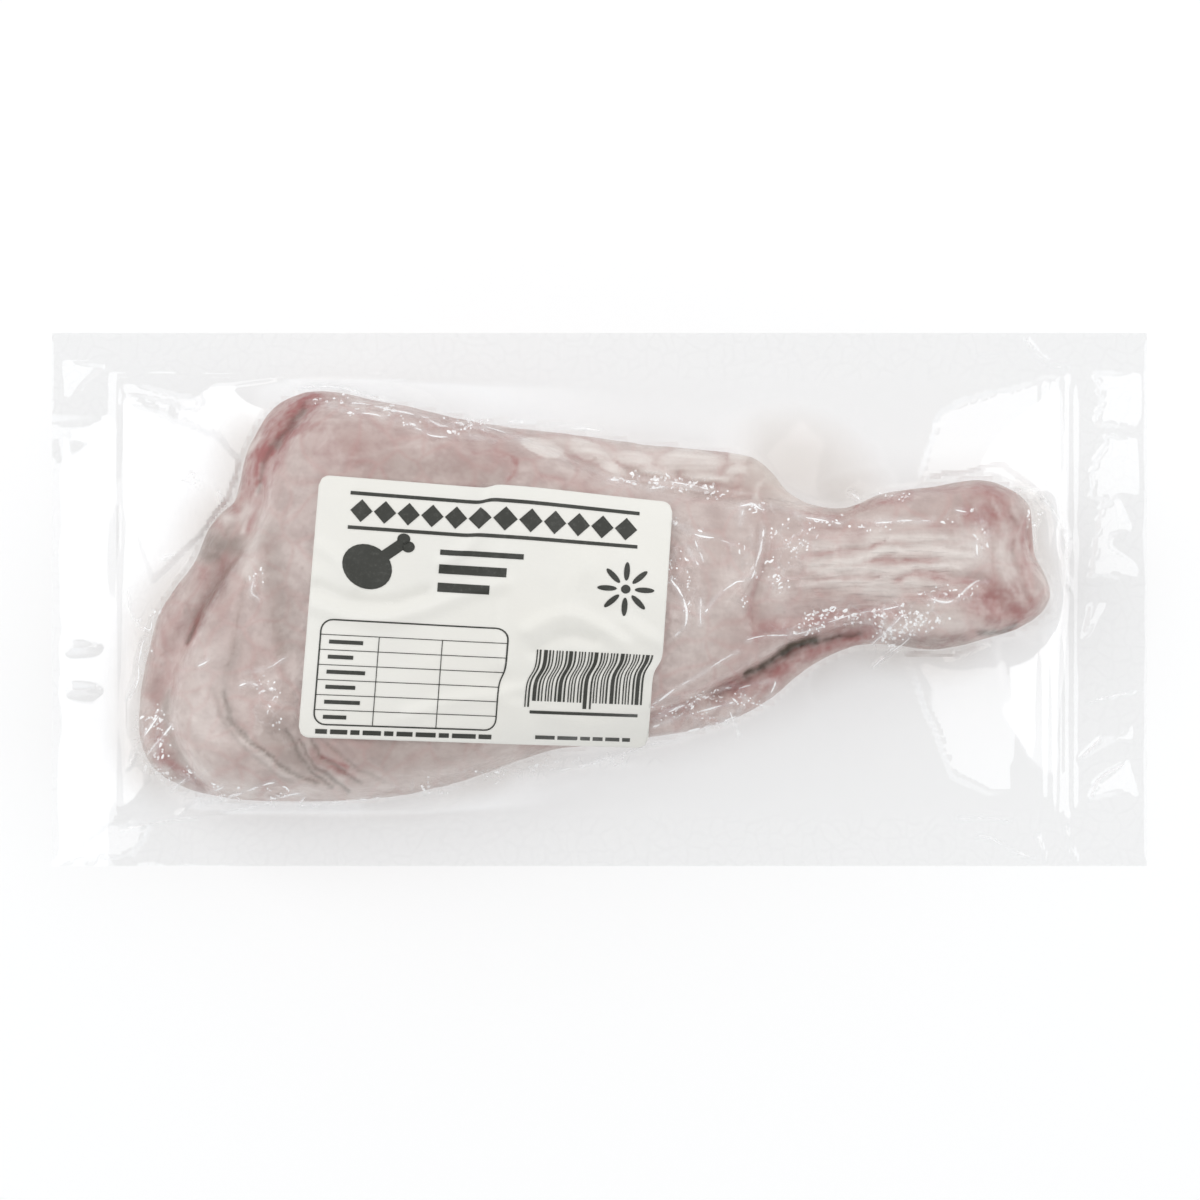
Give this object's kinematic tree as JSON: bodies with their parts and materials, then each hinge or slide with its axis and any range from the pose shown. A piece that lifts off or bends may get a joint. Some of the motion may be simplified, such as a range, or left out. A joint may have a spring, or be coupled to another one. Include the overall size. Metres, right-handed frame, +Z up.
{
  "type": "vacuum-packed raw turkey drumstick",
  "caption": "Raw turkey drumstick sealed tight in a clear flat pouch, lying on its side with a plain paper label on top.",
  "frame": {"origin": "on the table under the centre of the pouch", "axes": "+X from the thick cut end to the shank, +Y to the back edge of the pouch, +Z up to the label"},
  "size_m": [0.305, 0.1484, 0.061],
  "materials": {
    "turkey_skin": "moist, satin",
    "clear_film": "clear, glossy, creased",
    "label_paper": "smooth, satin"
  },
  "bodies": {
    "root": {"vacuum_pouch": "turkey_skin", "label": "label_paper"}
  },
  "joints": []
}
